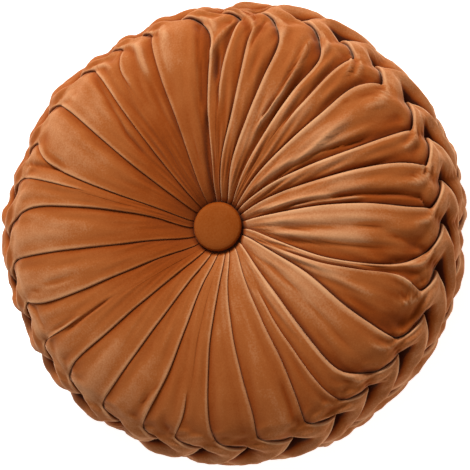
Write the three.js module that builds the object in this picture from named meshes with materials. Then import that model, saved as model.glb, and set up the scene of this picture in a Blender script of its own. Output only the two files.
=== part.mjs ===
import * as THREE from 'three';

// Round seat cushion of velvet. One long strip of cloth is gathered in knife pleats to a covered
// button in the middle of each face, and its middle stretch is smocked, so that the folds zigzag
// down the side. The filled cover is one solid, and each button is a piece of its own.
// Sizes are in millimetres and angles in degrees. Z is up and the cushion lies on its back at z = 0.
// Angles are counted clockwise from +X, seen from above.

// Driving dimensions
const RIM_RADIUS = 202.5;
const MID_HEIGHT = 56;
const CROWN_RISE = 60;
const CROWN_RADIUS = 108;
const EDGE_RADIUS = 185.5;
const EDGE_RISE = 43;
const PINCH_RADIUS = 198.5;
const PINCH_RISE = 33;
const SEAT_RADIUS = 13;
const SEAT_RISE = 38.8;
const BUTTON_RADIUS = 21.2;
const BUTTON_THICKNESS = 9;
const CLEARANCE = 0.3;

// The hand-made outline is slightly oval, and a little fuller at three places.
const OVAL = { share: 0.0094, turn: -26 };
const LOBES = { share: 0.005, turn: -43 };

// How far a fold line wanders from the edge of the face to the middle of the side
const WAIST_SHIFT = 13;

const VELVET = { color: 0xb05c2e, roughness: 0.85, metalness: 0 };
const BUTTON_VELVET = { color: 0xa65529, roughness: 0.8, metalness: 0 };

// One row for each pleat of the face, in order round the cushion. Columns r24 to r165 give the angle
// of the fold's free edge at that radius, and notch gives it where the fold turns over the edge of
// the face. pinch is the angle of the first sewn point on the side. The fold shows from the radius
// from, and depth is how far it stands above the next pleat, which it covers. One fold dies away on
// the face, at the radius to.
const FULL_DEPTH = 6;
const FOLDS = [
  { from: 0, depth: 5.5, r24: 6, r50: 14, r90: 17.5, r130: 16, r165: 13, notch: 8.5, pinch: 0 },
  { from: 58, depth: 4.5, r24: 12.5, r50: 20, r90: 21, r130: 18.5, r165: 16.5, notch: 19, pinch: 12 },
  { from: 0, depth: 5.5, r24: 20, r50: 25, r90: 28, r130: 32, r165: 33, notch: 33, pinch: 23.5 },
  { from: 0, depth: 5, r24: 37, r50: 45, r90: 48.5, r130: 50, r165: 49.5, notch: 44.5, pinch: 35.5 },
  { from: 70, depth: 3.5, r24: 44, r50: 52.5, r90: 57, r130: 57, r165: 56.5, notch: 55, pinch: 47 },
  { from: 0, depth: 4, r24: 51, r50: 60, r90: 62.5, r130: 63, r165: 64.5, notch: 66, pinch: 58 },
  { from: 0, depth: 3.5, r24: 66, r50: 77, r90: 79.5, r130: 79, r165: 78.5, notch: 79.5, pinch: 70.5 },
  { from: 0, depth: 4, r24: 75.5, r50: 85.5, r90: 91, r130: 92, r165: 92, notch: 91, pinch: 83 },
  { from: 145, depth: 2.5, r24: 83.5, r50: 94, r90: 98, r130: 98.5, r165: 100, notch: 102.5, pinch: 95 },
  { from: 0, depth: 4, r24: 91.5, r50: 102, r90: 105.5, r130: 107.5, r165: 110.5, notch: 112, pinch: 107 },
  { from: 0, depth: 4, r24: 105, r50: 115, r90: 120, r130: 122.5, r165: 124, notch: 125, pinch: 118.5 },
  { from: 0, depth: 4, r24: 121, r50: 129.5, r90: 134.5, r130: 136.5, r165: 138, notch: 137.5, pinch: 131 },
  { from: 143, depth: 2.5, r24: 131.5, r50: 140, r90: 144.5, r130: 146.5, r165: 148, notch: 149, pinch: 143 },
  { from: 0, depth: 4, r24: 142, r50: 151, r90: 154.5, r130: 156, r165: 158, notch: 161, pinch: 156 },
  { from: 0, depth: 4, r24: 160.5, r50: 168, r90: 171, r130: 172.5, r165: 173, notch: 173, pinch: 167 },
  { from: 0, depth: 4.5, r24: 181, r50: 189, r90: 190, r130: 189, r165: 187.5, notch: 184, pinch: 178 },
  { from: 125, depth: 3, r24: 188, r50: 193.5, r90: 195, r130: 196, r165: 196, notch: 195.5, pinch: 189.5 },
  { from: 0, depth: 4.5, r24: 195, r50: 198, r90: 199, r130: 200, r165: 202, notch: 206, pinch: 200.5 },
  { from: 0, depth: 4, r24: 214.5, r50: 216, r90: 217, r130: 218, r165: 218.5, notch: 218, pinch: 212 },
  { from: 0, depth: 4, r24: 229, r50: 230, r90: 231, r130: 231.5, r165: 232, notch: 231.5, pinch: 225 },
  { from: 147, depth: 2.5, r24: 237.5, r50: 239, r90: 240, r130: 238.5, r165: 238.5, notch: 241.5, pinch: 236 },
  { from: 0, depth: 4.5, r24: 246, r50: 249, r90: 250.5, r130: 250, r165: 250, notch: 250.5, pinch: 246 },
  { from: 0, depth: 6.5, r24: 265, r50: 267.5, r90: 267, r130: 268, r165: 268.5, notch: 265, pinch: 257 },
  { from: 104, depth: 6, r24: 271, r50: 272, r90: 272, r130: 273, r165: 275, notch: 276.5, pinch: 268.5 },
  { from: 0, to: 178, depth: 5, r24: 277, r50: 276, r90: 279.5, r130: 280.5, r165: 280.5, notch: 281, pinch: 274 },
  { from: 0, depth: 5.5, r24: 291, r50: 286, r90: 288, r130: 289.5, r165: 290, notch: 286, pinch: 279 },
  { from: 0, depth: 6, r24: 302, r50: 299, r90: 300.5, r130: 302, r165: 303.5, notch: 299, pinch: 291 },
  { from: 104, depth: 5, r24: 307.5, r50: 305.5, r90: 306, r130: 308, r165: 309, notch: 310.5, pinch: 303 },
  { from: 0, depth: 6, r24: 313, r50: 311.5, r90: 314, r130: 316, r165: 317, notch: 321, pinch: 314.5 },
  { from: 0, depth: 6, r24: 321.5, r50: 325, r90: 330, r130: 333.5, r165: 335, notch: 335.5, pinch: 327 },
  { from: 0, depth: 6, r24: 334, r50: 335, r90: 338.5, r130: 341, r165: 343.5, notch: 346, pinch: 337.5 },
  { from: 0, depth: 6, r24: 350, r50: 351, r90: 352, r130: 354, r165: 356.5, notch: 357, pinch: 349 },
];
const FACE_KNOTS = [24, 50, 90, 130, 165, EDGE_RADIUS];

// Rings of the cover from the seat of the face button outwards, each with its radius, its rise above
// the mid plane and the share of the pleat's depth that shows there.
const FACE_RINGS = [
  { r: SEAT_RADIUS, rise: SEAT_RISE, share: 0 },
  { r: 19, rise: 40.2, share: 0.1 },
  { r: 23, rise: 43.6, share: 0.4 },
  { r: 28, rise: 46.8, share: 0.55 },
  { r: 37, rise: 50.3, share: 0.65 },
  { r: 50, rise: 53.8, share: 0.75 },
  { r: 72, rise: 57.7, share: 0.9 },
  { r: CROWN_RADIUS - 10, rise: CROWN_RISE, share: 1 },
  { r: CROWN_RADIUS + 15, rise: CROWN_RISE - 0.2, share: 1 },
  { r: 146, rise: 57.5, share: 1 },
  { r: 164, rise: 53.4, share: 1 },
  { r: 177, rise: 48.3, share: 1 },
];

// Rings of the side from the edge of the face down to the waist at mid height. lean is how far the
// fold line has come: 0 at the notch, 1 at the first sewn point and 2 at the one on the waist.
// relief is the depth from the lip of a fold of FULL_DEPTH into the pocket beside it.
const SIDE_RINGS = [
  { r: EDGE_RADIUS, rise: EDGE_RISE, lean: 0, relief: 5.5 },
  { r: 193, rise: 39, lean: 0.5, relief: 6 },
  { r: PINCH_RADIUS, rise: PINCH_RISE, lean: 1, relief: 10.5 },
  { r: 201.5, rise: 23, lean: 1.33, relief: 9 },
  { r: RIM_RADIUS, rise: 12, lean: 1.67, relief: 7 },
  { r: 201.6, rise: 0, lean: 2, relief: 9 },
];

// Rings of the back from its edge inwards. Its crown is pressed flat where the cushion rests.
const BACK_RINGS = [
  { r: 176, rise: 49, relief: 4 },
  { r: 161, rise: 53.8, relief: 3.5 },
  { r: 145, rise: MID_HEIGHT, relief: 3.5 },
  { r: 114, rise: MID_HEIGHT, relief: 3.5 },
  { r: 84, rise: MID_HEIGHT, relief: 3.5 },
  { r: 60, rise: 54.6, relief: 3 },
  { r: 42, rise: 51.2, relief: 2.5 },
  { r: 28, rise: 46.3, relief: 1.8 },
  { r: 21, rise: 41.3, relief: 0.6 },
  { r: SEAT_RADIUS, rise: SEAT_RISE, relief: 0 },
];

// The cloth across one pleat, from the pocket under its free edge, over the lip, to where it slips
// under the next pleat. drop is the share of the relief that the cloth lies below the lip, and
// pressed is the same on the back, where the crown is pressed flat.
const PLEAT_SECTION = [
  { along: 0, drop: 1, pressed: 1 },
  { along: 0.06, drop: 0.1, pressed: 0 },
  { along: 0.28, drop: 0, pressed: 0 },
  { along: 0.6, drop: 0.2, pressed: 0 },
  { along: 0.86, drop: 0.6, pressed: 0.55 },
];

// How quickly a fold that starts or ends on the face rises out of the cloth
const FADE = 16;

const radians = (degrees) => THREE.MathUtils.degToRad(degrees);

// A smooth curve through the given values at the given knots
function smoothValue(knots, values, x) {
  const last = knots.length - 1;
  if (x <= knots[0]) return values[0];
  if (x >= knots[last]) return values[last];
  const slope = (i) => {
    const a = Math.max(i - 1, 0);
    const b = Math.min(i + 1, last);
    return (values[b] - values[a]) / (knots[b] - knots[a]);
  };
  const i = knots.findIndex((knot) => knot > x) - 1;
  const width = knots[i + 1] - knots[i];
  const t = (x - knots[i]) / width;
  const ease = t * t * (3 - 2 * t);
  const lean = t * (1 - t) * width;
  return (
    values[i] * (1 - ease) + values[i + 1] * ease + lean * (slope(i) * (1 - t) - slope(i + 1) * t)
  );
}

function faceAngle(fold, r) {
  const angles = [fold.r24, fold.r50, fold.r90, fold.r130, fold.r165, fold.notch];
  return smoothValue(FACE_KNOTS, angles, r);
}

// From the notch the fold leans back to the first sewn point, and then forward to the waist.
function sideAngle(fold, lean) {
  if (lean <= 1) return THREE.MathUtils.lerp(fold.notch, fold.pinch, lean);
  return fold.pinch + WAIST_SHIFT * (lean - 1);
}

// On the back every pleat runs to the button, evenly spaced there.
function backAngle(fold, index, r) {
  const even = (360 / FOLDS.length) * index + FOLDS[0].r24;
  return THREE.MathUtils.mapLinear(r, SEAT_RADIUS, EDGE_RADIUS, even, fold.notch);
}

function showing(fold, r) {
  const rising = fold.from === 0 ? 1 : THREE.MathUtils.smoothstep(r, fold.from - FADE / 2, fold.from + FADE);
  const falling = fold.to ? THREE.MathUtils.smoothstep(r, fold.to - FADE, fold.to) : 0;
  return rising * (1 - falling);
}

// Every ring of the cover, from the seat of the face button to that of the back button
function coverRings() {
  const face = FACE_RINGS.map((ring) => ({
    r: ring.r,
    z: MID_HEIGHT + ring.rise,
    angle: (fold) => faceAngle(fold, ring.r),
    relief: (fold) => fold.depth * ring.share,
    show: (fold) => showing(fold, ring.r),
    section: 'drop',
  }));
  const side = SIDE_RINGS.map((ring) => ({
    r: ring.r,
    z: MID_HEIGHT + ring.rise,
    angle: (fold) => sideAngle(fold, ring.lean),
    relief: (fold) => ring.relief * (fold.depth / FULL_DEPTH),
    show: (fold) => (fold.to ? 0 : 1),
    section: 'drop',
  }));
  const waist = side.length - 1;
  const lower = side.slice(0, waist).reverse();
  const sideBelow = lower.map((ring) => ({ ...ring, z: 2 * MID_HEIGHT - ring.z }));
  const back = BACK_RINGS.map((ring) => ({
    r: ring.r,
    z: MID_HEIGHT - ring.rise,
    angle: (fold, index) => backAngle(fold, index, ring.r),
    relief: () => ring.relief,
    show: (fold) => (fold.to ? 0 : 1),
    section: 'pressed',
  }));
  return [...face, ...side, ...sideBelow, ...back];
}

// The outline's unevenness grows from nothing at the button to its full share at the rim.
function uneven(angle, r) {
  const oval = OVAL.share * Math.cos(2 * radians(angle - OVAL.turn));
  const lobes = LOBES.share * Math.cos(3 * radians(angle - LOBES.turn));
  return 1 + (oval + lobes) * (r / RIM_RADIUS);
}

// Unit vector out of the cloth at a ring, in the plane of its radius and height
function outward(rings, index) {
  const before = rings[Math.max(index - 1, 0)];
  const after = rings[Math.min(index + 1, rings.length - 1)];
  const normal = new THREE.Vector2(before.z - after.z, after.r - before.r);
  return normal.normalize();
}

// A pleat that has faded out leaves one wide pleat in its place, so the drop at its edge settles at
// the height that the wide pleat has there.
const FADED_DROP = 0.35;
const LIP_END = 0.1;

function coverPoints(rings, index) {
  const ring = rings[index];
  const normal = ring.section === 'pressed' ? new THREE.Vector2(0, -1) : outward(rings, index);
  const points = [];
  FOLDS.forEach((fold, k) => {
    const next = FOLDS[(k + 1) % FOLDS.length];
    const start = ring.angle(fold, k);
    const turn = k + 1 === FOLDS.length ? 360 : 0;
    const end = ring.angle(next, (k + 1) % FOLDS.length) + turn;
    PLEAT_SECTION.forEach((cut) => {
      const angle = THREE.MathUtils.lerp(start, end, cut.along);
      const shown = THREE.MathUtils.lerp(ring.show(fold), ring.show(next), cut.along);
      const lipShown = cut.along < LIP_END ? ring.show(fold) : shown;
      const share = THREE.MathUtils.lerp(FADED_DROP, cut[ring.section], lipShown);
      const drop = THREE.MathUtils.lerp(ring.relief(fold), ring.relief(next), cut.along) * share;
      const r = (ring.r - normal.x * drop) * uneven(angle, ring.r);
      const z = ring.z - normal.y * drop;
      points.push([r * Math.cos(radians(angle)), -r * Math.sin(radians(angle)), z]);
    });
  });
  return points;
}

function coverGeometry() {
  const rings = coverRings();
  const around = FOLDS.length * PLEAT_SECTION.length;
  const positions = rings.flatMap((ring, index) => coverPoints(rings, index)).flat();
  const faces = [];
  for (let i = 0; i + 1 < rings.length; i += 1) {
    for (let j = 0; j < around; j += 1) {
      const here = i * around + j;
      const beside = i * around + ((j + 1) % around);
      faces.push(here, beside, here + around);
      faces.push(beside, beside + around, here + around);
    }
  }
  const top = positions.length / 3;
  positions.push(0, 0, rings[0].z);
  const bottom = top + 1;
  const lastRing = (rings.length - 1) * around;
  positions.push(0, 0, rings[rings.length - 1].z);
  for (let j = 0; j < around; j += 1) {
    const beside = (j + 1) % around;
    faces.push(top, beside, j);
    faces.push(bottom, lastRing + j, lastRing + beside);
  }
  const geometry = new THREE.BufferGeometry();
  geometry.setAttribute('position', new THREE.Float32BufferAttribute(positions, 3));
  geometry.setIndex(faces);
  geometry.computeVertexNormals();
  return geometry;
}

// A covered button: a domed disc with a rolled edge and a flat back that sits in the gathers
const BUTTON_SIDES = 40;
const BUTTON_SECTION = [
  { share: 0, rise: 0 },
  { share: 0.58, rise: 0 },
  { share: 0.86, rise: 0.2 },
  { share: 0.985, rise: 0.42 },
  { share: 1, rise: 0.56 },
  { share: 0.965, rise: 0.7 },
  { share: 0.84, rise: 0.83 },
  { share: 0.6, rise: 0.93 },
  { share: 0.3, rise: 0.985 },
  { share: 0, rise: 1 },
];

function buttonGeometry() {
  const outline = BUTTON_SECTION.map(
    (cut) => new THREE.Vector2(cut.share * BUTTON_RADIUS, cut.rise * BUTTON_THICKNESS),
  );
  return new THREE.LatheGeometry(outline, BUTTON_SIDES);
}

const cushionGroup = new THREE.Group();

const cushion = new THREE.Mesh(coverGeometry(), new THREE.MeshStandardMaterial(VELVET));
cushion.name = 'cushion';

const buttonFront = new THREE.Mesh(buttonGeometry(), new THREE.MeshStandardMaterial(BUTTON_VELVET));
buttonFront.name = 'button_front';
buttonFront.rotation.x = Math.PI / 2;
buttonFront.position.z = MID_HEIGHT + SEAT_RISE + CLEARANCE;

const buttonBack = new THREE.Mesh(buttonGeometry(), new THREE.MeshStandardMaterial(BUTTON_VELVET));
buttonBack.name = 'button_back';
buttonBack.rotation.x = -Math.PI / 2;
buttonBack.position.z = MID_HEIGHT - SEAT_RISE - CLEARANCE;

// The origin is under the middle of the cushion's outline, on the surface that it rests on.
cushion.geometry.computeBoundingBox();
const middle = cushion.geometry.boundingBox.getCenter(new THREE.Vector3());
cushionGroup.position.set(-middle.x, -middle.y, 0);
cushionGroup.add(cushion, buttonFront, buttonBack);

export default cushionGroup;
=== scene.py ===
import math

import bpy
import numpy as np
from mathutils import Matrix, Vector


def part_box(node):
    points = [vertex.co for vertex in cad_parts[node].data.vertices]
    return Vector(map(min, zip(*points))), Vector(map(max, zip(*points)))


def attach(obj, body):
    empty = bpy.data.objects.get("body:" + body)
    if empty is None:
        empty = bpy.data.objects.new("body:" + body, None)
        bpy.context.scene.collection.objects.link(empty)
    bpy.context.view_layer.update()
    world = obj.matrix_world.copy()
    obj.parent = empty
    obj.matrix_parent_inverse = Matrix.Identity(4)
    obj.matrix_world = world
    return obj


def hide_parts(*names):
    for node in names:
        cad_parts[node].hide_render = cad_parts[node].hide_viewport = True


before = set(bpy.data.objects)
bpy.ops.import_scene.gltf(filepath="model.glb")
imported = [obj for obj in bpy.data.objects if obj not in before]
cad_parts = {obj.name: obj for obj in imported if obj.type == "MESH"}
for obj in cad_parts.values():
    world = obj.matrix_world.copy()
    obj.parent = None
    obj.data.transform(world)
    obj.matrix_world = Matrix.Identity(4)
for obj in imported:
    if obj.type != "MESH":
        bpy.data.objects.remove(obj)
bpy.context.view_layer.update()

# The view: the cushion lies on its back and is seen from nearly straight above, a little from the
# lower right, by a long lens. Angles of the cushion count clockwise from +X, seen from above.
tilt = math.radians(17.0)
turn = math.radians(24.0)
distance = 1.9
field_width = 0.409
sensor_width = 36.0
toward = Vector((math.sin(tilt) * math.cos(turn), -math.sin(tilt) * math.sin(turn), math.cos(tilt)))
across = Vector((0, 1, 0)).cross(toward).normalized()
upward = toward.cross(across)
# the lens looks at a point a few of the photo's pixels right of and below the middle of the cushion
pixels_per_metre = 1149
pixels_right = 4.1
pixels_down = 1.8
middle = Vector((0, 0, 0.056))
aim = middle + across * (pixels_right / pixels_per_metre) - upward * (pixels_down / pixels_per_metre)
lens = bpy.data.cameras.new("view")
lens.sensor_width = sensor_width
lens.lens = sensor_width * distance / field_width
camera = bpy.data.objects.new("view", lens)
facing = Matrix((across, upward, toward)).transposed().to_4x4()
camera.matrix_world = Matrix.Translation(aim + toward * distance) @ facing
bpy.context.collection.objects.link(camera)
bpy.context.scene.camera = camera
bpy.context.scene.view_settings.view_transform = "Standard"

# The studio: a pale floor that glows by itself, one broad soft light from the upper left, a weak fill
# from the lower right, and a dim white surround that the lens sees as nearly white.
bpy.ops.object.select_all(action="DESELECT")
bpy.ops.mesh.primitive_plane_add(size=8.0, location=(0, 0, 0))
floor = bpy.context.active_object
floor.name = "floor"
paper = bpy.data.materials.new("pale_floor")
paper.use_nodes = True
paper_shader = paper.node_tree.nodes["Principled BSDF"]
paper_shader.inputs["Base Color"].default_value = (0.93, 0.93, 0.925, 1)
paper_shader.inputs["Roughness"].default_value = 0.9
paper_shader.inputs["Emission Color"].default_value = (1, 1, 1, 1)
paper_shader.inputs["Emission Strength"].default_value = 0.8
floor.data.materials.append(paper)

for name, place, size, power in (
    ("key", (-0.55, 1.75, 1.5), 0.9, 64.0),
    ("fill", (1.6, -0.9, 1.5), 1.6, 5.0),
):
    light = bpy.data.lights.new(name, "AREA")
    light.shape = "SQUARE"
    light.size = size
    light.energy = power
    lamp = bpy.data.objects.new(name, light)
    lamp.location = place
    lamp.rotation_euler = (Vector((0, 0, 0.05)) - Vector(place)).to_track_quat("-Z", "Y").to_euler()
    bpy.context.collection.objects.link(lamp)
surround = bpy.data.worlds.new("surround")
surround.use_nodes = True
surround_tree = surround.node_tree
background = surround_tree.nodes["Background"]
background.inputs["Color"].default_value = (1, 0.99, 0.97, 1)
seen = surround_tree.nodes.new("ShaderNodeLightPath")
brightness = surround_tree.nodes.new("ShaderNodeMapRange")
brightness.inputs["To Min"].default_value = 0.26
brightness.inputs["To Max"].default_value = 0.95
surround_tree.links.new(seen.outputs["Is Camera Ray"], brightness.inputs["Value"])
surround_tree.links.new(brightness.outputs["Result"], background.inputs["Strength"])
bpy.context.scene.world = surround

# The cushion: one strip of velvet, its long edges gathered in knife pleats to the middle of the face
# and of the back, its middle stretch smocked into the zigzag of the side, and the whole filled. Every
# pleat runs from its own lip clockwise and slips under the lip of the next one. Sizes in millimetres.
RIM = 202.5
EDGE = 185.5
WELL = 13.0
MID_HEIGHT = 56.0

# One row for each pleat of the face: the radii between which its fold shows, its depth, and the angle
# of its lip at five radii, at the notch on the edge of the face and at the sewn point below it. A fold
# that runs on over the edge stops at TO_EDGE.
TO_EDGE = 999
FOLD_COLUMNS = ("start", "stop", "depth", "r24", "r50", "r90", "r130", "r165", "notch", "pinch")
FOLDS = (
    (0, TO_EDGE, 5.5, 6, 14, 17.5, 16, 13, 8.5, 0),
    (58, TO_EDGE, 4.5, 12.5, 20, 21, 18.5, 16.5, 19, 12),
    (0, TO_EDGE, 5.5, 20, 25, 28, 32, 33, 33, 23.5),
    (0, TO_EDGE, 5, 37, 45, 48.5, 50, 49.5, 44.5, 35.5),
    (70, TO_EDGE, 3.5, 44, 52.5, 57, 57, 56.5, 55, 47),
    (0, TO_EDGE, 4, 51, 60, 62.5, 63, 64.5, 66, 58),
    (0, TO_EDGE, 3.5, 66, 77, 79.5, 79, 78.5, 79.5, 70.5),
    (0, TO_EDGE, 4, 75.5, 85.5, 91, 92, 92, 91, 83),
    (145, TO_EDGE, 2.5, 83.5, 94, 98, 98.5, 100, 102.5, 95),
    (0, TO_EDGE, 4, 91.5, 102, 105.5, 107.5, 110.5, 112, 107),
    (0, TO_EDGE, 4, 105, 115, 120, 122.5, 124, 125, 118.5),
    (0, TO_EDGE, 4, 121, 129.5, 134.5, 136.5, 138, 137.5, 131),
    (143, TO_EDGE, 2.5, 131.5, 140, 144.5, 146.5, 148, 149, 143),
    (0, TO_EDGE, 4, 142, 151, 154.5, 156, 158, 161, 156),
    (0, TO_EDGE, 4, 160.5, 168, 171, 172.5, 173, 173, 167),
    (0, TO_EDGE, 4.5, 181, 189, 190, 189, 187.5, 184, 178),
    (125, TO_EDGE, 3, 188, 193.5, 195, 196, 196, 195.5, 189.5),
    (0, TO_EDGE, 4.5, 195, 198, 199, 200, 202, 206, 200.5),
    (0, TO_EDGE, 4, 214.5, 216, 217, 218, 218.5, 218, 212),
    (0, TO_EDGE, 4, 229, 230, 231, 231.5, 232, 231.5, 225),
    (147, TO_EDGE, 2.5, 237.5, 239, 240, 238.5, 238.5, 241.5, 236),
    (0, TO_EDGE, 4.5, 246, 249, 250.5, 250, 250, 250.5, 246),
    (0, TO_EDGE, 6.5, 265, 267.5, 267, 268, 268.5, 265, 257),
    (104, TO_EDGE, 6, 271, 272, 272, 273, 275, 276.5, 268.5),
    (0, 178, 5, 277, 276, 279.5, 280.5, 280.5, 281, 274),
    (0, TO_EDGE, 5.5, 291, 286, 288, 289.5, 290, 286, 279),
    (0, TO_EDGE, 6, 302, 299, 300.5, 302, 303.5, 299, 291),
    (104, TO_EDGE, 5, 307.5, 305.5, 306, 308, 309, 310.5, 303),
    (0, TO_EDGE, 6, 313, 311.5, 314, 316, 317, 321, 314.5),
    (0, TO_EDGE, 6, 321.5, 325, 330, 333.5, 335, 335.5, 327),
    (0, TO_EDGE, 6, 334, 335, 338.5, 341, 343.5, 346, 337.5),
    (0, TO_EDGE, 6, 350, 351, 352, 354, 356.5, 357, 349),
)
fold = {name: np.array(column, float) for name, column in zip(FOLD_COLUMNS, zip(*FOLDS))}
PLEATS = len(FOLDS)
pleat = np.arange(PLEATS)
reaches_edge = fold["stop"] == TO_EDGE
whole_pleats = np.flatnonzero(reaches_edge)

# The section from the middle of the face over the side to the middle of the back: radius, rise above
# mid height, the share of a pleat's depth that shows, how much its lip is rounded off, and how far
# the pleat before it slips under the lip.
SECTION_COLUMNS = ("r", "rise", "share", "sag", "tuck")
FACE_AND_SIDE = (
    (WELL, 38.8, 0, 0, 0.3),
    (19, 40.2, 0.1, 0, 0.4),
    (23, 42.0, 0.4, 0, 0.6),
    (28, 46.0, 0.55, 0, 0.8),
    (37, 50.3, 0.62, 0.02, 1.2),
    (50, 53.8, 0.7, 0.05, 1.6),
    (72, 57.7, 0.82, 0.08, 2.0),
    (98, 60, 0.9, 0.1, 2.2),
    (123, 59.8, 0.95, 0.12, 2.4),
    (146, 57.5, 0.95, 0.14, 2.4),
    (164, 53.4, 0.95, 0.16, 2.4),
    (177, 48.3, 0.92, 0.18, 2.2),
    (EDGE, 43, 0.95, 0.2, 1.8),
    (192, 38.5, 1.05, 0.2, 2.0),
    (197, 33, 1.4, 0.3, 2.6),
    (201.5, 23, 1.5, 0.35, 3.5),
    (RIM, 12, 1.2, 0.35, 3.0),
    (201.6, 0, 1.4, 0.35, 3.0),
)
SIDE_AND_BACK = (
    (RIM, -12, 1.2, 0.35, 3.0),
    (201.5, -23, 1.5, 0.35, 3.5),
    (197, -33, 1.3, 0.3, 2.6),
    (192, -38.5, 0.65, 0.2, 1.4),
    (EDGE, -43, 0.75, 0.2, 1.6),
    (176, -49, 0.8, 0.15, 2.0),
    (161, -53.8, 0.7, 0.1, 2.0),
    (145, -56, 0.65, 0, 2.0),
    (114, -56, 0.65, 0, 2.0),
    (84, -56, 0.65, 0, 1.8),
    (60, -54.6, 0.6, 0, 1.5),
    (42, -51.2, 0.5, 0, 1.2),
    (28, -46.3, 0.4, 0, 0.8),
    (21, -41.3, 0.15, 0, 0.5),
    (WELL, -38.8, 0, 0, 0.3),
)
# the rows with the notches on the edge of the face, the sewn points below them and the waist
EDGE_ROW, PINCH_ROW, WAIST_ROW = 12, 14, 17
section_rows = FACE_AND_SIDE + SIDE_AND_BACK
section = {name: np.array(column, float) for name, column in zip(SECTION_COLUMNS, zip(*section_rows))}


def ease(x):
    """A smooth step from 0 at x = 0 to 1 at x = 1."""
    x = np.clip(x, 0, 1)
    return x * x * (3 - 2 * x)


def smooth_curve(knots, values, x):
    """A smooth curve through the values at the knots; values may hold a column for each pleat."""
    knots, values, x = np.asarray(knots, float), np.asarray(values, float), np.asarray(x, float)
    if values.ndim == 1:
        return smooth_curve(knots, values[:, None], x)[..., 0]
    last = len(knots) - 1
    low = np.maximum(np.arange(last + 1) - 1, 0)
    high = np.minimum(np.arange(last + 1) + 1, last)
    slope = (values[high] - values[low]) / (knots[high] - knots[low])[:, None]
    x = np.clip(x, knots[0], knots[-1])
    i = np.clip(np.searchsorted(knots, x, side="right") - 1, 0, last - 1)
    width = (knots[i + 1] - knots[i])[:, None]
    t = (x[:, None] - knots[i][:, None]) / width
    blend = ease(t)
    bulge = t * (1 - t) * width * (slope[i] * (1 - t) - slope[i + 1] * t)
    return values[i] * (1 - blend) + values[i + 1] * blend + bulge


# The rings of the mesh: each has its distance along the section from the middle of the face. They are
# closest together on the side and widest apart on the back. What belongs to a ring is kept in columns.
FACE_RINGS, SIDE_RINGS, BACK_RINGS = 36, 62, 20
SIDE_MARGIN = 14.0
section_steps = np.hypot(np.diff(section["r"]), np.diff(section["rise"]))
along = np.concatenate(([0.0], np.cumsum(section_steps)))
edge_at, pinch_at, waist_at, end_at = along[[EDGE_ROW, PINCH_ROW, WAIST_ROW, -1]]
back_pinch_at = 2 * waist_at - pinch_at
back_edge_at = 2 * waist_at - edge_at
ring_at = np.concatenate((
    np.linspace(0, edge_at - SIDE_MARGIN, FACE_RINGS, endpoint=False),
    np.linspace(edge_at - SIDE_MARGIN, back_edge_at + SIDE_MARGIN, SIDE_RINGS, endpoint=False),
    np.linspace(back_edge_at + SIDE_MARGIN, end_at, BACK_RINGS),
))
ring = {name: smooth_curve(along, section[name], ring_at)[:, None] for name in SECTION_COLUMNS}
radius = ring["r"]
on_face = (ring_at < edge_at)[:, None]
on_back = (ring_at > back_edge_at)[:, None]
on_side = ~(on_face | on_back)

# The direction that points out of the section at each ring
fine_at = np.linspace(0, end_at, 4000)
run = np.stack([np.gradient(smooth_curve(along, section[name], fine_at), fine_at) for name in ("r", "rise")])
run /= np.hypot(*run)
across_run = np.stack((np.interp(ring_at, fine_at, -run[1]), np.interp(ring_at, fine_at, run[0])))
out_r, out_z = (across_run / np.hypot(*across_run))[..., None]

# The angle of every lip on every ring: the table on the face, from notch to sewn point and waist and
# back on the side, and evenly shared out towards the button on the back. The rows of sewn points and
# their angles run from the edge of the face over the waist, which is row 2, to the edge of the back.
LIP_RADII = (24, 50, 90, 130, 165, EDGE)
# the degrees that the zigzag turns from a sewn point to the waist, and how far its corners are rounded
WAIST_SHIFT = 13.0
ROUNDED = 1.2
face_angle = smooth_curve(LIP_RADII, [fold[name] for name in FOLD_COLUMNS[3:9]], radius[:, 0])
waist_point = fold["pinch"] + WAIST_SHIFT + 1.1 * np.sin(2.1 * pleat + 0.7)
back_pinch = fold["pinch"] + 1.2 * np.sin(1.7 * pleat)
sewn_at = np.array((edge_at, pinch_at, waist_at, back_pinch_at, back_edge_at))
sewn_angle = np.stack((fold["notch"], fold["pinch"], waist_point, back_pinch, fold["notch"]))
side_angle = np.stack([
    sum(np.interp(ring_at + shift, sewn_at, zigzag) for shift in (-ROUNDED, 0, ROUNDED)) / 3
    for zigzag in sewn_angle.T
], axis=1)
even_angle = 360.0 / PLEATS * pleat + fold["r24"][0]
inward = np.clip((EDGE - radius) / (EDGE - WELL), 0, 1)
back_angle = fold["notch"] * (1 - inward) + even_angle * inward
lip = np.where(on_back, back_angle, np.where(on_face, face_angle, side_angle))

# How much of each fold shows on each ring, and how deep it is there. Folds deeper than KNIFE stand up
# as sharp knife folds, and the shallower ones of the face lie flat and show as a thin, paler line.
FADE = 16.0
KNIFE = 4.6
KNIFE_SHARE, SHALLOW_SHARE = 0.86, 0.66
BACK_DEPTH = 6.0
RIBBON_DEPTH = 5.6
RIBBON_MARGIN = 4.0
rising = ease((radius - fold["start"] + FADE / 2) / (1.5 * FADE))
falling = 1 - ease((radius - fold["stop"] + FADE) / FADE)
show = np.where(on_face, np.where(fold["start"] > 0, rising, 1) * falling, reaches_edge * 1.0)
knife_fold = fold["depth"] > KNIFE
shallow = on_face & ~knife_fold
visible_depth = fold["depth"] * np.where(knife_fold, KNIFE_SHARE, SHALLOW_SHARE)
ribbons_at = edge_at + RIBBON_MARGIN
in_ribbons = (np.abs(ring_at - waist_at) < waist_at - ribbons_at)[:, None]
fold_depth = np.where(on_back, BACK_DEPTH, visible_depth)
relief = ring["share"] * np.where(in_ribbons, RIBBON_DEPTH, fold_depth)

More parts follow.
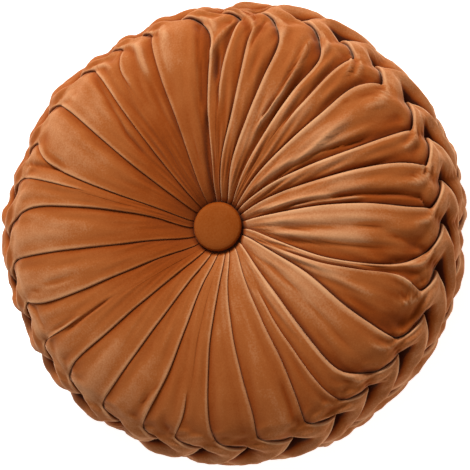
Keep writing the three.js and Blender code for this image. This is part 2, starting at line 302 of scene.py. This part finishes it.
# The open pocket that starts at each sewn point and narrows along the fold, deepest at the point
POCKET_WIDE, POCKET_DEEP, POCKET_LONG = 10.0, 8.5, 20.0
# painted shade in each pocket, taken off the painted tone
POCKET_SHADE = 1.2
past_pinch = (np.minimum(ring_at, 2 * waist_at - ring_at) - pinch_at)[:, None]
pocket = np.where(past_pinch < 3, ease((past_pinch + 3) / 6), 1 - ease((past_pinch - 5) / POCKET_LONG))
pocket = pocket * reaches_edge * (0.8 + 0.35 * np.sin(2.4 * pleat))

# The ribbons of the side are puffed out by the filling, most between the rows of sewn points
RIBBON_PUFF = 2.6
from_row = np.min(np.abs(ring_at - sewn_at[:, None]), axis=0)[:, None]
starts = ease((ring_at - edge_at) / 8)[:, None]
ends = 1 - ease((ring_at - back_edge_at + 8) / 8)[:, None]
puffed = RIBBON_PUFF * starts * ends * (0.6 + 0.4 * ease(from_row / 8))


def next_pleat(values):
    """The values of the next pleat clockwise, in each pleat's own place."""
    return np.roll(values, -1, axis=1)


# Each pleat's width, how far it slips under the next one, and how strongly its fold gets painted
# highlight and shade. A tuck takes at most a share of the narrower of the two pleats, and shallow folds
# get less painted highlight and shade.
TUCK_OF_WIDTH = 0.2
LEAST_TUCK = 0.05
SHALLOW_TUCK, SHALLOW_SHADE, SHALLOW_HIGHLIGHT = 0.6, 0.8, 0.7
next_show, next_relief, next_pocket = next_pleat(show), next_pleat(relief), next_pleat(pocket)
next_lip = next_pleat(lip)
next_lip[:, -1] += 360
millimetres_per_degree = math.pi / 180 * radius
width = (next_lip - lip) * millimetres_per_degree
narrower = np.minimum(width, np.roll(width, 1, axis=1))
tuck = np.minimum(ring["tuck"], TUCK_OF_WIDTH * narrower) * np.where(shallow, SHALLOW_TUCK, 1)
tuck = np.maximum(tuck, LEAST_TUCK)
next_tuck = next_pleat(tuck)
shade = np.where(shallow, SHALLOW_SHADE, 1)
next_shade = next_pleat(shade)
# the weight of the painted highlight on each lip, lower on shallow folds
highlight_weight = np.where(shallow, SHALLOW_HIGHLIGHT, 1)

# The cloth across one pleat. LIP runs from the bottom of the pocket, round the nose of the lip and on
# to its top, and TAIL is the pleat's end under the next lip. Columns: how far past the lip's edge in
# shares of the tuck, the level in shares of the relief, how far past the edge in flat steps where the
# fold has faded out, the share of the pocket's depth, and the painted tone: painted highlight (+) or
# painted shade (-). Where a fold has faded out, the cloth lies lower by FADED, a share of the relief.
FADED = 0.35
flat_step = np.minimum(0.9, 0.05 * width)
LIP = (
    (1.0, -1.12, 0.0, 1.0, -1.0),
    (0.55, -0.97, 0.5, 1.0, -0.97),
    (0.12, -0.8, 1.0, 0.75, -0.8),
    (-0.12, -0.5, 1.5, 0.0, 0.333),
    (0.0, -0.22, 2.0, 0.0, 0.893),
    (0.3, -0.06, 2.5, 0.0, 0.68),
    (0.8, 0.0, 3.0, 0.0, 0.6),
)
TAIL = (
    (-0.6, -0.93, -1.6, 1.0, -0.7),
    (0.0, -1.04, -1.1, 1.0, -0.894),
    (0.55, -1.1, -0.5, 1.0, -1.0),
)

# every column of points gets an array of angles, one of levels and one of painted shading, for all the
# pleats; the part of the lip that shows is rounded off, and the part in the pocket gets painted shade
angles, levels, painted_shading_columns = [], [], []
for past_edge, share, flat_steps, opened, painted_tone in LIP:
    move = show * past_edge * tuck + (1 - show) * flat_steps * flat_step
    angles.append(lip + move / millimetres_per_degree)
    rounding = 0 if opened else ring["sag"]
    fold_level = relief * (show * (share - rounding) - (1 - show) * FADED)
    levels.append(fold_level - pocket * POCKET_DEEP * opened)
    pocket_shade = POCKET_SHADE * pocket if opened else 0
    painted_shading_columns.append(show * painted_tone * (highlight_weight if painted_tone > 0 else shade) - pocket_shade)

# the body falls from the lip's top to the next fold: evenly at first, then steeply just before it,
# with a soft crown behind the lip and a slight hollow after it; a thin painted highlight runs along
# the lip, and painted shade darkens the end under the next lip
BODY = 14
BODY_CROWD = 1.35
CROWN_AT = 0.35
HOLLOW = 0.18
POCKET_LIFT = 0.35
deep = np.clip((fold["depth"] - 3.5) / 2.5, 0, 1)
past_edge, share, flat_steps = TAIL[0][:3]
full_move = past_edge * next_tuck - next_pocket * POCKET_WIDE
end_move = next_show * full_move + (1 - next_show) * flat_steps * flat_step
start_angle = angles[-1]
end_angle = next_lip + end_move / millimetres_per_degree
start_level = relief * (-(1 - show) * FADED - show * ring["sag"])
end_level = next_relief * (next_show * (share + POCKET_LIFT * next_pocket) - (1 - next_show) * FADED)
end_shade = (0.25 + 0.6 * on_side + POCKET_SHADE * next_pocket) * next_show
end_shade_share = 0.12 + 0.16 * on_side
for t in 1 - (1 - (np.arange(BODY) + 1.0) / (BODY + 1.0)) ** BODY_CROWD:
    knife = (0.16 + 0.16 * deep) * t + (0.84 - 0.16 * deep) * t ** (5.0 - 1.4 * deep)
    fall = next_show * knife + (1 - next_show) * t
    crown = ring["sag"] * relief * ease(t / CROWN_AT) * (1 - ease((t - CROWN_AT) / (1 - CROWN_AT))) * show
    behind = t * width / (6.5 + 0.5 * relief)
    hollow = HOLLOW * relief * show * ease(behind) * (1 - ease((behind - 1) / 1.6))
    swelling = puffed * (np.sin(math.pi * t ** 0.8) - 0.45)
    angles.append(start_angle * (1 - t) + end_angle * t)
    levels.append(start_level * (1 - fall) + end_level * fall + crown - hollow + swelling)
    lip_highlight = 0.6 * highlight_weight * show * np.clip(1 - t * width / 1.4, 0, 1)
    painted_shading_columns.append(lip_highlight - end_shade * ease(1 - (1 - t) / end_shade_share))

for past_edge, share, flat_steps, opened, painted_tone in TAIL:
    gape = next_pocket * POCKET_WIDE * max(0, -past_edge)
    move = next_show * (past_edge * next_tuck - gape) + (1 - next_show) * flat_steps * flat_step
    angles.append(next_lip + move / millimetres_per_degree)
    fold_level = next_relief * (next_show * share - (1 - next_show) * FADED)
    levels.append(fold_level - next_pocket * POCKET_DEEP * opened)
    painted_shading_columns.append(next_show * next_shade * painted_tone - POCKET_SHADE * next_pocket)

# the columns of all the pleats side by side make the rings of the cover
COLUMNS = len(angles)
RINGS = len(ring_at)
AROUND = PLEATS * COLUMNS
angle = np.stack(angles, axis=2).reshape(RINGS, AROUND)
level = np.stack(levels, axis=2).reshape(RINGS, AROUND)
painted_shading = np.stack(painted_shading_columns, axis=2).reshape(RINGS, AROUND)


def sideways_from(centre_angle, rings=slice(None)):
    """How many millimetres each point of the rings lies clockwise of an angle."""
    turned = (angle[rings] - centre_angle + 180) % 360 - 180
    return turned * math.pi / 180 * radius[rings]


# The sewn points draw the cloth in: at each notch, at each sewn point below it, on the waist and the
# same again towards the back. Columns: where on the section, the angle for each pleat, the depth,
# length and width of the dimple, and the height of the puckers that run out from it.
PUCKER_REACH = 8.0
for place, angle_there, depth, long, wide, pucker in (
    (edge_at - 1, fold["notch"], 2.4, 8.0, 7.0, 0.25),
    (pinch_at + 3, fold["pinch"] + 0.5, 7.0, 12.0, 11.0, 0.3),
    (waist_at, waist_point, 3.0, 8.0, 9.0, 0.3),
    (back_pinch_at - 3, back_pinch + 0.5, 7.0, 13.0, 11.0, 0.3),
    (back_edge_at + 1, fold["notch"], 3.0, 8.0, 7.0, 0.6),
):
    near = np.abs(ring_at - place) < 3 * long
    lengthways = ring_at[near][:, None] - place
    for k in whole_pleats:
        sideways = sideways_from(angle_there[k], near)
        level[near] -= depth * np.exp(-(lengthways / long) ** 2 - (np.abs(sideways) / wide) ** 1.3)
        away = np.hypot(lengthways, sideways) / PUCKER_REACH
        rays = np.sin((5 + k % 3) * np.arctan2(sideways, lengthways) + 2.4 * k)
        level[near] += pucker * rays * away * np.exp(1 - away) * (away < 2)

# At each notch the lip of the pleat rolls over, and the roll hooks inward across the pleat, most at
# the upper right. Each roll is a ridge with a groove beside it, and its top gets a painted highlight.
ROLL_FROM, ROLL_TO = 166, 187
ROLL_HOOK = 14.0
RIDGE_HIGH, RIDGE_WIDE = 2.3, 2.6
GROOVE_DEEP, GROOVE_WIDE, GROOVE_BESIDE = 1.6, 3.0, 5.5
roll_path = ROLL_HOOK * (1 - np.exp(-np.maximum(ROLL_TO - radius, 0) / 5))
roll_reach = ease((radius - ROLL_FROM) / 10) * (1 - ease((ring_at[:, None] - edge_at - 1) / 5))
for notch in fold["notch"][whole_pleats]:
    strength = 0.1 + 0.9 * ease(math.cos(math.radians(notch + 40)) + 0.5)
    sideways = sideways_from(notch) - roll_path
    ridge = RIDGE_HIGH * np.exp(-(sideways / RIDGE_WIDE) ** 2)
    groove = GROOVE_DEEP * np.exp(-((sideways + GROOVE_BESIDE) / GROOVE_WIDE) ** 2)
    level += roll_reach * strength * (ridge - groove)
    painted_shading += roll_reach * strength * 0.5 * np.exp(-(sideways / 2) ** 2)

# The hand-made cover is slightly oval and uneven, and it stands where the buttons are. The ovals have
# columns for the share of the radius, how many times round, and how many degrees ahead. UNEVEN has an
# angle on the rim, and how many millimetres the rim stands outside (+) or inside (-) of the oval there.
OVAL = ((0.0094, 2, 26), (0.005, 3, 43))
RIM_OVAL = ((0.0035, 0, 0), (0.0075, 2, -16))
UNEVEN = (
    (7, -2.0), (22, 3.0), (37, 0), (52, -1.5), (67, 2.5), (85, 0), (115, -2.0),
    (140, -2.0), (157, -4.0), (172, 1.0), (187, 1.0), (202, -3.5), (217, 0), (232, -1.0),
    (247, -1.0), (262, 1.0), (277, 0), (292, 2.0), (307, -1.0), (337, 0), (352, 2.5),
)
low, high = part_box("button_front")
centre = (np.array(low) + np.array(high)) / 2
oval, rim_oval = (
    sum(share * np.cos(np.radians(times * (angle + ahead))) for share, times, ahead in waves)
    for waves in (OVAL, RIM_OVAL)
)
rim_uneven = np.interp(angle % 360, *zip(*UNEVEN), period=360) / RIM
swell = 1 + oval * radius / RIM + (rim_oval + rim_uneven) * (radius / RIM) ** 8


def cover_points(level):
    """The cover's points in metres, with each point moved out of the plain section by its level."""
    reach = (radius + out_r * level) * swell
    rise = np.maximum(MID_HEIGHT + ring["rise"] + out_z * level, 0)
    turned = np.radians(angle)
    points = np.stack((reach * np.cos(turned), -reach * np.sin(turned), rise), axis=2) / 1000
    points[..., :2] += centre[:2]
    return points


def closed_cover(name, grid):
    """A closed mesh through a grid of points, with a fan to the middle of each gathered end."""
    rows, columns = grid.shape[:2]
    middles = [(centre[0], centre[1], grid[row, 0, 2]) for row in (0, -1)]
    here = np.arange((rows - 1) * columns).reshape(rows - 1, columns)
    # the last column joins the first of its own ring
    beside = np.roll(here, -1, axis=1)
    quads = np.stack((here, beside, beside + columns, here + columns), axis=2).reshape(-1, 4).tolist()
    first_middle, last_ring = rows * columns, (rows - 1) * columns
    fans = [(first_middle, (j + 1) % columns, j) for j in range(columns)]
    fans += [(first_middle + 1, last_ring + j, last_ring + (j + 1) % columns) for j in range(columns)]
    mesh = bpy.data.meshes.new(name)
    mesh.from_pydata(grid.reshape(-1, 3).tolist() + middles, [], quads + fans)
    made = bpy.data.objects.new(name, mesh)
    bpy.context.collection.objects.link(made)
    return made


# The filling pushes the cloth out between its folds and sewn points. A coarser copy of the cover is
# held there and blown up, and what it moves is given to the finer cover, up to PUFF millimetres.
PUFF = 6.0
BLOWN_FRAMES = 20
# held at every row of sewn points but the waist, round each point, and at both gathered ends
HELD_ROWS = (0, 1, 3, 4)
HELD_AROUND_POINT = 4.0
HELD_AT_ENDS = 20.0
# how freely a column of a pleat moves: not at all at its two folds, fully on its body
FREE = (
    (0, 0), (2, 0.1), (len(LIP), 0.5), (len(LIP) + 2, 1), (COLUMNS - 5, 1), (COLUMNS - 1, 0),
)
free = np.tile(np.interp(np.arange(COLUMNS), *zip(*FREE)), PLEATS)
rows = np.unique(np.append(np.arange(0, RINGS, 2), RINGS - 1))
columns = np.arange(0, AROUND, 3)
coarse = np.ix_(rows, columns)
coarse_at = ring_at[rows][:, None]
base = cover_points(level)[coarse]
pad = closed_cover("filling", base)

held = np.zeros((RINGS, AROUND), bool)
for row in HELD_ROWS:
    near = np.abs(ring_at - sewn_at[row]) < HELD_AROUND_POINT
    for k in whole_pleats:
        held[near] |= np.abs(sideways_from(sewn_angle[row, k], near)) < HELD_AROUND_POINT
at_ends = (coarse_at < HELD_AT_ENDS) | (coarse_at > end_at - HELD_AT_ENDS)
hold = held[coarse] | (columns % COLUMNS == 0) | at_ends
sewn = pad.vertex_groups.new(name="sewn")
sewn.add(np.flatnonzero(hold).tolist() + [hold.size, hold.size + 1], 1.0, "REPLACE")

cloth = pad.modifiers.new("filling", "CLOTH")
cloth.settings.vertex_group_mass = "sewn"
cloth.settings.use_pressure = True
cloth.settings.uniform_pressure_force = 4.0
cloth.settings.shrink_min = -0.035
cloth.settings.tension_stiffness = 20.0
cloth.settings.bending_stiffness = 0.05
cloth.settings.effector_weights.gravity = 0.0
cloth.point_cache.frame_end = BLOWN_FRAMES
for moment in range(1, BLOWN_FRAMES + 1):
    bpy.context.scene.frame_set(moment)
blown = pad.evaluated_get(bpy.context.evaluated_depsgraph_get()).data
moved = np.empty(len(blown.vertices) * 3)
blown.vertices.foreach_get("co", moved)
moved = moved.reshape(-1, 3)[:-2].reshape(base.shape) - base
bpy.context.scene.frame_set(1)
bpy.data.objects.remove(pad)

turned = np.radians(angle[coarse])
out_there = np.broadcast_to(out_z[rows], turned.shape)
outward = np.stack((out_r[rows] * np.cos(turned), -out_r[rows] * np.sin(turned), out_there), axis=2)
puff = np.clip((moved * outward).sum(axis=2) * 1000, -PUFF, PUFF)
puff -= puff.mean(axis=1, keepdims=True)
# by the edge of the face the cloth is drawn tight round the left half, so it puffs less there
by_edge = ease((coarse_at - edge_at + 12) / 8) * (1 - ease((coarse_at - pinch_at - 2) / 8))
puff *= 1 - 0.6 * by_edge * ease(0.5 - np.cos(turned + math.radians(20)))
# on the face and back the gathers pull every wrinkle into line with the folds
lined = puff.copy()
for step in range(60):
    lined[1:-1] = (lined[:-2] + 2 * lined[1:-1] + lined[2:]) / 4
side_share = ease((coarse_at - edge_at + 22) / 20) * (1 - ease((coarse_at - back_edge_at - 2) / 20))
puff = puff * side_share + 0.6 * lined * (1 - side_share)
# from the coarse grid to the fine one, with two columns more at both ends to close the round
puff = smooth_curve(rows, puff, np.arange(RINGS))
wrapped = np.concatenate((columns[-2:] - AROUND, columns, columns[:2] + AROUND))
puff = np.concatenate((puff[:, -2:], puff, puff[:, :2]), axis=1)
puff = smooth_curve(wrapped, puff.T, np.arange(AROUND)).T
level = level + puff * free * np.where(on_back, 0.5, 1)

# Smaller creases of the face, sunk (-) or raised (+). Columns: height, half width, then the places
# that the crease runs through from the inside out, each an angle and a radius.
CREASES = (
    (-1.6, 1.6, (67, 150), (67.5, 179)),
    (-1.2, 1.5, (110.6, 145), (112, 155), (113.5, 165), (114.6, 179)),
    (-1.0, 1.5, (146.5, 114), (146.5, 155)),
    (-1.0, 1.5, (149, 146), (149, 182)),
    (-0.9, 1.6, (162.5, 130), (162.5, 170)),
    (-1.2, 1.5, (200.8, 150), (199.4, 185)),
    (-1.2, 1.4, (202.5, 148), (204.6, 170)),
    (-1.3, 1.6, (225.6, 92), (226, 110), (227.9, 126), (228.5, 138), (229.4, 154), (230, 170)),
    (0.8, 2.5, (228, 112), (228.3, 123), (228.6, 134)),
    (1.4, 3.2, (246, 150), (246, 175)),
    (1.6, 3.6, (254, 146), (254, 182)),
    (-1.6, 2.6, (263, 24), (264.5, 60), (266, 90)),
    (-1.8, 1.6, (264.9, 107), (264.5, 140), (264.2, 178)),
    (-2.6, 3.0, (271, 130), (271, 147)),
    (1.6, 2.4, (268.8, 150), (271.5, 165), (274.6, 179)),
    (-1.4, 1.8, (281.7, 159), (283.3, 179)),
    (1.8, 2.0, (296, 95), (297.7, 107), (299, 126), (299.2, 148), (298, 174)),
    (-1.6, 1.5, (294.8, 95), (296.4, 107), (297.7, 126), (297.9, 148), (296.8, 170)),
    (1.6, 2.0, (312.5, 170), (311.3, 178), (309.8, 182)),
    (-1.4, 1.6, (318.8, 151), (321.7, 178)),
    (1.6, 2.2, (325, 160), (325, 171), (322.5, 180)),
    (-1.6, 1.5, (325, 65), (326.3, 90), (327.9, 111), (330.8, 130), (332.3, 145)),
    (1.6, 3.6, (319.6, 50), (321.7, 76), (324, 89), (325, 101), (323.8, 139)),
    (1.6, 2.0, (349.4, 171), (347.9, 179), (345.5, 183)),
    (1.6, 2.6, (344.2, 45), (345.8, 70), (347.1, 95), (348.3, 104)),
    (-1.4, 1.6, (347.5, 69), (348.1, 83)),
    (-2.2, 2.2, (349.2, 107), (350.6, 135), (351.9, 154), (353.8, 176), (356.3, 181)),
    (1.2, 2.0, (349.4, 72), (351.3, 126)),
    (-1.3, 3.6, (3.8, 62), (3.2, 100), (2.4, 142)),
    (1.1, 4.2, (358.4, 56), (358.6, 100), (359.4, 152)),
    (1.1, 3.8, (8.2, 60), (7.0, 100), (7.4, 132)),
    (-0.8, 3.2, (11.8, 66), (10.6, 110), (9.4, 148)),
    (0.9, 3.0, (325.5, 56), (327, 100), (329, 150)),
    (-0.9, 2.6, (337.8, 60), (339.6, 110), (341.5, 150)),
    (0.9, 3.2, (22.5, 62), (23.5, 100), (25, 150)),
    (-0.8, 3.0, (36.5, 60), (40, 110), (42, 150)),
    (-1.3, 3.0, (4.6, 150), (7.5, 176)),
    (-1.4, 2.6, (13.8, 154), (12, 164)),
    (1.6, 2.2, (16.7, 164), (17.9, 177), (22.7, 177), (19.4, 180)),
)
CREASE_RELIEF = 2.0
CREASE_SPREAD = 0.85
front = (ring_at < ribbons_at)[:, None]
for height, half, *places in CREASES:
    angles_there, radii = zip(*places)
    sideways = sideways_from(np.interp(radius, radii, angles_there))
    # a crease fades out over 12 mm at each end, and a broad one over more
    fade = 12 + 10 * max(0, half - 2.5)
    fade_in = ease((radius - radii[0] + 0.7 * fade) / fade)
    fade_out = 1 - ease((radius - radii[-1] + 0.3 * fade) / fade)
    crease = front * height * fade_in * fade_out * np.exp(-(sideways / (CREASE_SPREAD * half)) ** 2)
    level += CREASE_RELIEF * crease
    # raised creases get a painted highlight
    painted_shading += 0.2 * np.maximum(crease, 0)

# Fine ripples run out from the button where the strip is gathered hardest, at the top and the right.
# Columns: how many ripples go round, how much they bend on their way out, and where they start.
RIPPLES = ((43, 2.2, 0.4), (59, -3.1, 2.0), (83, 4.3, 4.1), (107, -2.6, 5.5))
RIPPLE_HEIGHT = 0.34
RIPPLES_FROM, RIPPLES_TO = 26, 172
gathered = 0.35 + 0.65 * ease(np.cos(np.radians(angle + 40)) + 0.5)
rippled = front * ease((radius - RIPPLES_FROM) / 20) * (1 - ease((radius - RIPPLES_TO) / 14))
ripple = sum(
    np.sin(waves * np.radians(angle) + bend * np.sin(radius / 31 + start) + start)
    for waves, bend, start in RIPPLES
)
level += RIPPLE_HEIGHT * ripple * gathered * rippled * free

# Painted highlight on the tops of the folds, and painted shade in the hollows between them.
TOP_HIGHLIGHT, FULL_HIGHLIGHT_HEIGHT = 0.52, 1.5
blurred = level.copy()
for step in (1, 2, 4, 6, 8):
    blurred = (blurred + np.roll(blurred, step, axis=1) + np.roll(blurred, -step, axis=1)) / 3
painted_shading += TOP_HIGHLIGHT * np.tanh((level - blurred) / FULL_HIGHLIGHT_HEIGHT)

# Painted sheen and shade: the face is painted lighter or darker with the angle and the slope, as the light
# falls on it. Columns: the angle where a change is strongest, how far it spreads to both sides (from -1,
# not at all, to 1, nearly all round), the radii it runs over, and the change of painted tone there.
PAINTED_SHEEN = (
    (200, 0.15, (40, 110), (-0.65, 0.0)),
    (182, 0.25, (100, 150), (0.0, 0.25)),
    (320, 0.3, (50, 80, 115, 140), (0.0, 0.25, 0.25, 0.0)),
    (330, 0.5, (125, 155), (0.0, -0.2)),
    (255, -0.65, (60, 85, 125, 150), (0.0, -1.6, -1.6, 0.0)),
    (345, -0.65, (50, 75, 95, 120), (0.0, -0.8, -0.8, 0.0)),
    (42, 0.0, (50, 120), (0.4, 0.0)),
)
for strongest, spread, radii, change in PAINTED_SHEEN:
    painted_shading += front * np.interp(radius, radii, change) * ease(spread + np.cos(np.radians(angle - strongest)))
# painted shade on the side at the left, and a painted shadow where the cloth dips under the button
SIDE_SHADE = 0.35
DIP_SHADOW = 1.5
DIP_RADIUS = 21.5
painted_shading -= SIDE_SHADE * (1 - front) * ease(np.cos(np.radians(angle - 200)))
shadow_by_button = front * (1 - ease((radius - DIP_RADIUS) / 3))
painted_shading = painted_shading * (1 - shadow_by_button) - DIP_SHADOW * shadow_by_button

cover = closed_cover("velvet_cover", cover_points(level))
# the painted highlight and shade are stored on the points for the material
cover_painted_tone = np.append(painted_shading.ravel(), (0.0, 0.0))
cover.data.attributes.new("painted_tone", "FLOAT", "POINT").data.foreach_set("value", cover_painted_tone)
cover.data.polygons.foreach_set("use_smooth", [True] * len(cover.data.polygons))

# Rust-coloured velvet: its colour runs along a ramp from the dye in painted shade in the hollows to pale
# painted highlights on the tops. The painted tone, the single tufts of the pile and broad brushed clouds
# each move it along by their share.
PAINTED_TONE_SHARE, PILE_SHARE, CLOUD_SHARE = 0.32, 0.2, 0.18
DYE_AND_SHADE_START = 0.32
# the ramp's dark end serves painted shade and its pale end painted highlight
DYE_AND_SHADE = (
    (0.0, (0.045, 0.006, 0.0006)),
    (0.16, (0.155, 0.023, 0.001)),
    (0.42, (0.278, 0.052, 0.004)),
    (0.62, (0.372, 0.1, 0.02)),
    (0.95, (0.68, 0.345, 0.165)),
)
velvet = bpy.data.materials.new("rust_velvet")
velvet.use_nodes = True
nodes, links = velvet.node_tree.nodes, velvet.node_tree.links
coordinates = nodes.new("ShaderNodeTexCoord")
painted_tone_value = nodes.new("ShaderNodeAttribute")
painted_tone_value.attribute_name = "painted_tone"
pile = nodes.new("ShaderNodeTexNoise")
pile.inputs["Scale"].default_value = 700.0
pile.inputs["Detail"].default_value = 3.0
clouds = nodes.new("ShaderNodeTexNoise")
clouds.inputs["Scale"].default_value = 45.0
clouds.inputs["Detail"].default_value = 4.0
for texture in (pile, clouds):
    links.new(coordinates.outputs["Object"], texture.inputs["Vector"])
# the first share is added to the start value, and each later one to the sum so far
dye_and_shade_at = None
for source, share in ((painted_tone_value, PAINTED_TONE_SHARE), (pile, PILE_SHARE), (clouds, CLOUD_SHARE)):
    add = nodes.new("ShaderNodeMath")
    add.operation = "MULTIPLY_ADD"
    add.inputs[1].default_value = share
    add.inputs[2].default_value = DYE_AND_SHADE_START
    links.new(source.outputs["Fac"], add.inputs[0])
    if dye_and_shade_at:
        links.new(dye_and_shade_at, add.inputs[2])
    dye_and_shade_at = add.outputs["Value"]
dye_and_shade = nodes.new("ShaderNodeValToRGB")
dye_and_shade.name = "dye_and_shade"
dye_and_shade.color_ramp.elements[1].position = DYE_AND_SHADE[-1][0]
for position, colour in DYE_AND_SHADE[1:-1]:
    dye_and_shade.color_ramp.elements.new(position)
for stop, (position, colour) in zip(dye_and_shade.color_ramp.elements, DYE_AND_SHADE):
    stop.color = (*colour, 1)
links.new(dye_and_shade_at, dye_and_shade.inputs["Fac"])
shader = nodes["Principled BSDF"]
links.new(dye_and_shade.outputs["Color"], shader.inputs["Base Color"])
shader.inputs["Roughness"].default_value = 0.85
shader.inputs["Specular IOR Level"].default_value = 0.06
shader.inputs["Sheen Weight"].default_value = 0.58
shader.inputs["Sheen Roughness"].default_value = 0.45
shader.inputs["Sheen Tint"].default_value = (1.0, 0.62, 0.37, 1)
pile_bump = nodes.new("ShaderNodeBump")
pile_bump.inputs["Strength"].default_value = 0.25
pile_bump.inputs["Distance"].default_value = 0.0004
links.new(pile.outputs["Fac"], pile_bump.inputs["Height"])
links.new(pile_bump.outputs["Normal"], shader.inputs["Normal"])
cover.data.materials.append(velvet)
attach(cover, "root")
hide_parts("cushion")

# The buttons: metal shells of 42 mm covered with the same velvet, stretched smooth over the dome and
# puckered where it turns over the rim. One is pulled down into the face and one into the back, by a
# thread through the filling. Stretched velvet looks a little darker and has hardly any sheen.
BUTTON_DARKER = 0.9
button_velvet = velvet.copy()
button_velvet.name = "button_velvet"
button_nodes = button_velvet.node_tree.nodes
for stop in button_nodes["dye_and_shade"].color_ramp.elements:
    stop.color = (*(BUTTON_DARKER * value for value in stop.color[:3]), 1)
button_nodes["Principled BSDF"].inputs["Sheen Weight"].default_value = 0.1
button_nodes["Principled BSDF"].inputs["Specular IOR Level"].default_value = 0.0

# the dome from its base up: shares of the button's radius and of its thickness
DOME = (
    (0.64, 0.0), (0.8, 0.11), (0.93, 0.26), (0.99, 0.42), (1.0, 0.55), (0.975, 0.67),
    (0.91, 0.77), (0.8, 0.85), (0.62, 0.92), (0.4, 0.965), (0.2, 0.99),
)
DOME_SIDES = 120
TOP_INSET, TOP_RISE = 0.08, 0.008
# the puckers stand in a band at the rim; columns: height, how many go round, and where they start
PUCKERS = ((0.008, 40, 0), (0.004, 13, 1))
RIM_AT, RIM_BAND = 0.99, 0.12
# the band at the rim, as a share of the radius, that gets painted shade
RIM_SHADE_BAND = 0.05
for node, name in (("button_front", "button_cover_face"), ("button_back", "button_cover_back")):
    low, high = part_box(node)
    half = (high[0] - low[0]) / 2
    thick = high[2] - low[2]
    bpy.ops.object.select_all(action="DESELECT")
    base_radius = half * DOME[0][0]
    bpy.ops.mesh.primitive_circle_add(
        vertices=DOME_SIDES, radius=base_radius, fill_type="NGON", location=(0, 0, 0)
    )
    button = bpy.context.active_object
    button.name = name
    bpy.ops.object.mode_set(mode="EDIT")
    bpy.ops.mesh.select_all(action="SELECT")
    for (share_before, rise_before), (share, rise) in zip(DOME, DOME[1:]):
        upwards = (0, 0, (rise - rise_before) * thick)
        inwards = (share / share_before, share / share_before, 1)
        bpy.ops.mesh.extrude_region_move(TRANSFORM_OT_translate={"value": upwards})
        bpy.ops.transform.resize(value=inwards, center_override=(0, 0, 0))
    bpy.ops.mesh.inset(thickness=half * TOP_INSET)
    bpy.ops.mesh.poke(offset=thick * TOP_RISE)
    bpy.ops.mesh.select_all(action="SELECT")
    bpy.ops.mesh.normals_make_consistent(inside=False)
    bpy.ops.object.mode_set(mode="OBJECT")
    # the velvet puckers round the rim, and gets painted shade where it turns over
    button_painted_shade = []
    for vertex in button.data.vertices:
        spot = vertex.co
        out = math.hypot(spot.x, spot.y) / half
        around = math.atan2(spot.y, spot.x)
        on_rim = max(0.0, 1 - abs(out - RIM_AT) / RIM_BAND)
        swelling = sum(height * math.sin(count * around + start) for height, count, start in PUCKERS)
        pucker = 1 + on_rim * swelling
        spot.x, spot.y = spot.x * pucker, spot.y * pucker
        button_painted_shade.append(-float(ease((out * pucker - 1 + RIM_SHADE_BAND) / RIM_SHADE_BAND)))
    button.data.attributes.new("painted_tone", "FLOAT", "POINT").data.foreach_set("value", button_painted_shade)
    faces_up = node == "button_front"
    base_height = low[2] if faces_up else high[2]
    flip = Matrix.Identity(4) if faces_up else Matrix.Rotation(math.pi, 4, "X")
    base = Vector(((low[0] + high[0]) / 2, (low[1] + high[1]) / 2, base_height))
    button.data.transform(Matrix.Translation(base) @ flip)
    bpy.ops.object.shade_smooth()
    button.data.materials.append(button_velvet)
    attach(button, "root")
    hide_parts(node)

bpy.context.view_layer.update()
